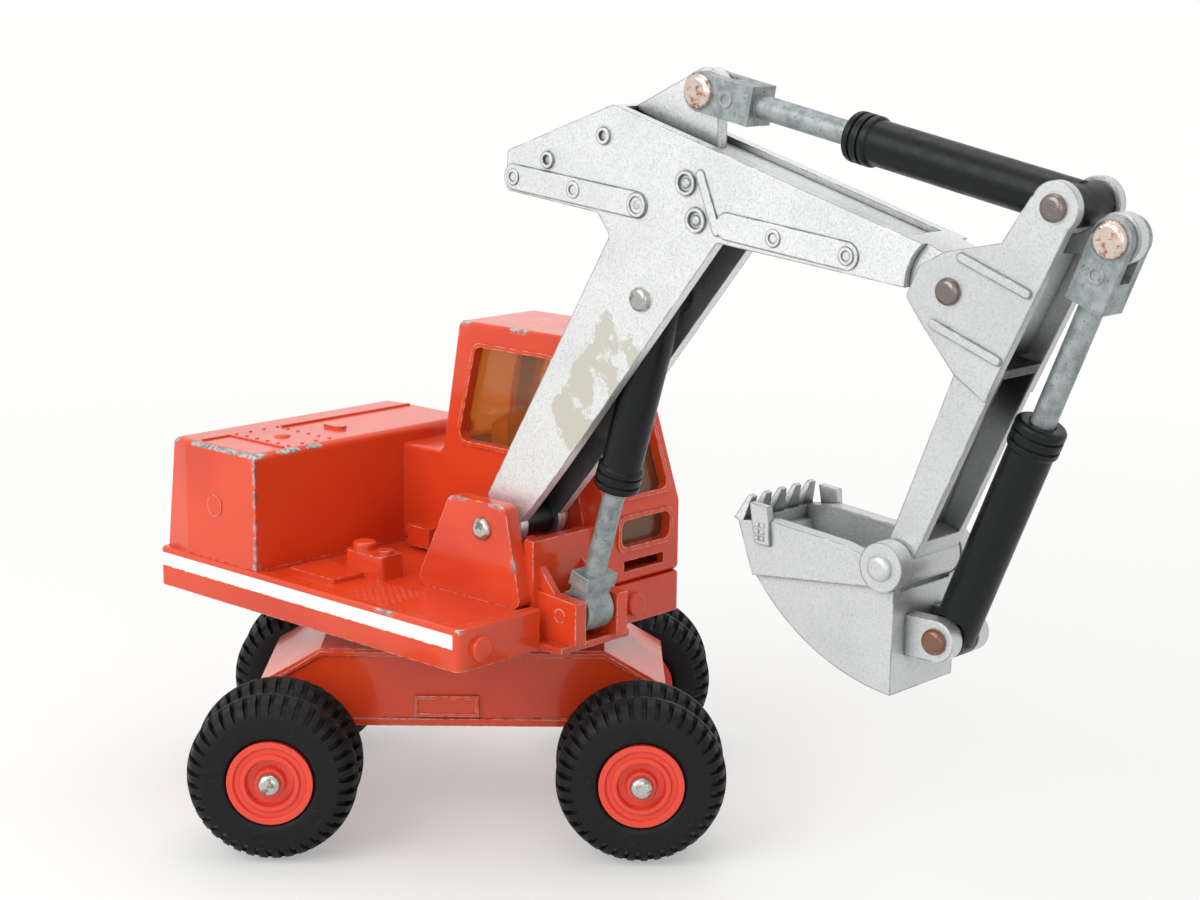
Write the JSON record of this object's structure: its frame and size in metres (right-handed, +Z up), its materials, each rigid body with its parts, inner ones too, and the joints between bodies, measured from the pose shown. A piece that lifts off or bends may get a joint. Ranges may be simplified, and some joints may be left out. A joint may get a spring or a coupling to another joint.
{
  "type": "toy wheeled excavator",
  "caption": "Die-cast toy wheeled excavator with a slewing house, an open cab shell with tinted glazing, and a boom, stick and bucket worked by sliding rams.",
  "frame": {"origin": "centre of the bounding box at floor level, in the rest pose", "axes": "+X along the chassis to its front, +Y to the chassis left, +Z up"},
  "size_m": [0.1078, 0.1026, 0.0923],
  "materials": {
    "red_paint": "gloss enamel with worn edges",
    "silver_paint": "metallic silver enamel, worn",
    "bare_zinc": "bare dull casting",
    "steel": "plated and tarnished",
    "black_plastic": "scratched gloss",
    "red_plastic": "gloss",
    "tyre_rubber": "matt, dusty",
    "amber_glazing": "clear tinted plastic"
  },
  "bodies": {
    "chassis": {"chassis": "red_paint", "chassis_base": "red_paint", "axle_rear": "steel", "axle_front": "steel", "slew_pin": "steel"},
    "wheel_right_rear": {"hub_right_rear": "red_plastic", "tyres_right_rear": "tyre_rubber"},
    "wheel_right_front": {"hub_right_front": "red_plastic", "tyres_right_front": "tyre_rubber"},
    "wheel_left_rear": {"hub_left_rear": "red_plastic", "tyres_left_rear": "tyre_rubber"},
    "wheel_left_front": {"hub_left_front": "red_plastic", "tyres_left_front": "tyre_rubber"},
    "house": {"deck_tray": "red_paint", "house_body": "red_paint", "cab_glazing": "amber_glazing", "boom_pin": "steel", "lug_pin": "steel"},
    "boom": {"boom": "silver_paint", "boom_ram_pin": "steel"},
    "boom_barrel": {"boom_barrel": "black_plastic"},
    "boom_rod": {"boom_rod": "bare_zinc"},
    "stick": {"stick": "silver_paint", "stick_pin": "steel", "stick_ram_pin": "steel"},
    "stick_barrel": {"stick_barrel": "black_plastic"},
    "stick_rod": {"stick_rod": "bare_zinc", "stick_rod_pin": "steel"},
    "bucket": {"bucket": "silver_paint", "bucket_pin": "steel", "bucket_ram_pin": "steel"},
    "bucket_barrel": {"bucket_barrel": "black_plastic"},
    "bucket_rod": {"bucket_rod": "bare_zinc", "bucket_rod_pin": "steel"}
  },
  "joints": [
    {"name": "spin_right_rear", "type": "hinge", "parent": "chassis", "child": "wheel_right_rear", "pos_m": [-0.03555, 0.01232, 0.01], "axis": [0, 1, 0], "continuous": true},
    {"name": "spin_right_front", "type": "hinge", "parent": "chassis", "child": "wheel_right_front", "pos_m": [0.00745, 0.01232, 0.01], "axis": [0, 1, 0], "continuous": true},
    {"name": "spin_left_rear", "type": "hinge", "parent": "chassis", "child": "wheel_left_rear", "pos_m": [-0.03555, 0.01232, 0.01], "axis": [0, 1, 0], "continuous": true},
    {"name": "spin_left_front", "type": "hinge", "parent": "chassis", "child": "wheel_left_front", "pos_m": [0.00745, 0.01232, 0.01], "axis": [0, 1, 0], "continuous": true},
    {"name": "slew", "type": "hinge", "parent": "chassis", "child": "house", "pos_m": [-0.01405, 0.01232, 0], "axis": [0, 0, 1], "continuous": true},
    {"name": "boom_lift", "type": "hinge", "parent": "house", "child": "boom", "pos_m": [-0.00652, 0.0053, 0.0375], "axis": [-0.682, -0.7314, 0], "range_deg": [-25, 18]},
    {"name": "boom_barrel_swing", "type": "hinge", "parent": "boom", "child": "boom_barrel", "pos_m": [0.00921, -0.00937, 0.0668], "axis": [-0.682, -0.7314, 0], "range_deg": [-7.9, 7.9]},
    {"name": "boom_rod_slide", "type": "slide", "parent": "boom_barrel", "child": "boom_rod", "axis": [-0.2088, 0.1947, -0.9584], "range_m": [-0.00751, 0.00751]},
    {"name": "stick_swing", "type": "hinge", "parent": "boom", "child": "stick", "pos_m": [0.03905, -0.03719, 0.0719], "axis": [0.682, 0.7314, 0], "range_deg": [-30, 18]},
    {"name": "stick_barrel_swing", "type": "hinge", "parent": "stick", "child": "stick_barrel", "pos_m": [0.04738, -0.04497, 0.081], "axis": [0.682, 0.7314, 0], "range_deg": [-32.1, 32.1]},
    {"name": "stick_rod_slide", "type": "slide", "parent": "stick_barrel", "child": "stick_rod", "axis": [-0.7183, 0.6699, 0.1879], "range_m": [-0.00837, 0.00837]},
    {"name": "bucket_tilt", "type": "hinge", "parent": "stick", "child": "bucket", "pos_m": [0.0351, -0.03351, 0.0432], "axis": [0.682, 0.7314, 0], "range_deg": [-55, 15]},
    {"name": "bucket_barrel_swing", "type": "hinge", "parent": "bucket", "child": "bucket_barrel", "pos_m": [0.03861, -0.03678, 0.0357], "axis": [0.682, 0.7314, 0], "range_deg": [-63.6, 63.6]},
    {"name": "bucket_rod_slide", "type": "slide", "parent": "bucket_barrel", "child": "bucket_rod", "axis": [0.2689, -0.2507, 0.93], "range_m": [-0.01035, 0.01035]}
  ],
  "couplings": [
    {"joint": "boom_barrel_swing", "follows": "boom_lift", "ratio": -0.13578},
    {"joint": "boom_rod_slide", "follows": "boom_lift", "m_per_rad": 0.012429},
    {"joint": "stick_barrel_swing", "follows": "stick_swing", "ratio": -0.81471},
    {"joint": "stick_rod_slide", "follows": "stick_swing", "m_per_rad": 0.011729},
    {"joint": "bucket_barrel_swing", "follows": "bucket_tilt", "ratio": -0.94194},
    {"joint": "bucket_rod_slide", "follows": "bucket_tilt", "m_per_rad": 0.008114}
  ]
}
